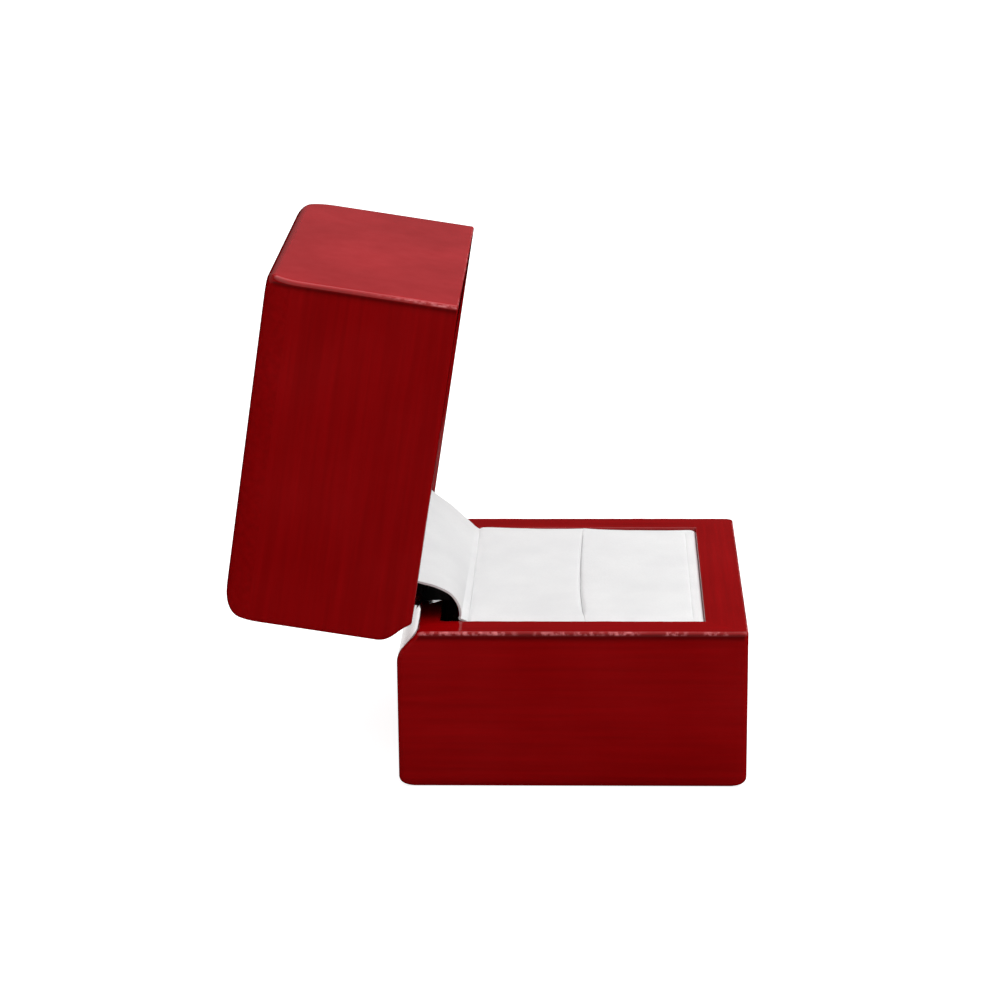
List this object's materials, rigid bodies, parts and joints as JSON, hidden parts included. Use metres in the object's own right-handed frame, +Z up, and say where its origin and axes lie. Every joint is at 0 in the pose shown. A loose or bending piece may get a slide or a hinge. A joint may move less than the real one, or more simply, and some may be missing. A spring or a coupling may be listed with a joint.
{
  "type": "ring box",
  "caption": "Hinged wooden ring box standing open, glossy dark red lacquer outside, white leatherette ring pads, lining and hinge flap inside.",
  "frame": {"origin": "centre of the underside of the base, on the surface that the box stands on", "axes": "+Z up; the front of the box faces -Y and the hinge is at +Y; +X runs along the hinge, to the right for someone facing the front"},
  "size_m": [0.064, 0.0866, 0.087],
  "materials": {
    "lacquered_wood": "high-gloss red lacquer over fine straight grain",
    "bare_wood": "bare board",
    "felt": "black felt",
    "card": "matt grey-brown card",
    "foam": "open-cell foam",
    "leatherette": "white fine-grained leatherette, soft matt",
    "hinge_steel": "bright nickel-plated steel",
    "brass_screw": "brass"
  },
  "bodies": {
    "base": {"base_front_wall": "lacquered_wood", "base_rear_wall": "lacquered_wood", "base_left_wall": "lacquered_wood", "base_right_wall": "lacquered_wood", "base_floor": "bare_wood", "base_felt": "felt", "pad_backing_board": "card", "front_pad_foam": "foam", "rear_pad_foam": "foam", "front_pad_cover": "leatherette", "rear_pad_cover": "leatherette", "hinge_base_leaf": "hinge_steel", "base_leaf_screw_left": "brass_screw", "base_leaf_screw_right": "brass_screw", "hinge_pin": "hinge_steel", "snap_spring": "hinge_steel", "hinge_cover": "leatherette"},
    "lid": {"lid_front_wall": "lacquered_wood", "lid_rear_wall": "lacquered_wood", "lid_left_wall": "lacquered_wood", "lid_right_wall": "lacquered_wood", "lid_top_panel": "lacquered_wood", "lid_liner_front": "leatherette", "lid_liner_rear": "leatherette", "lid_liner_left": "leatherette", "lid_liner_right": "leatherette", "lid_pad_board": "card", "lid_pad_foam": "foam", "lid_pad_cover": "leatherette", "hinge_lid_leaf": "hinge_steel", "lid_leaf_screw_left": "brass_screw", "lid_leaf_screw_right": "brass_screw"}
  },
  "joints": [
    {"name": "lid_hinge", "type": "hinge", "parent": "base", "child": "lid", "pos_m": [0, 0.0265, 0.0275], "axis": [1, 0, 0], "range_deg": [0, 81], "deforming": ["snap_spring", "hinge_cover"]}
  ]
}
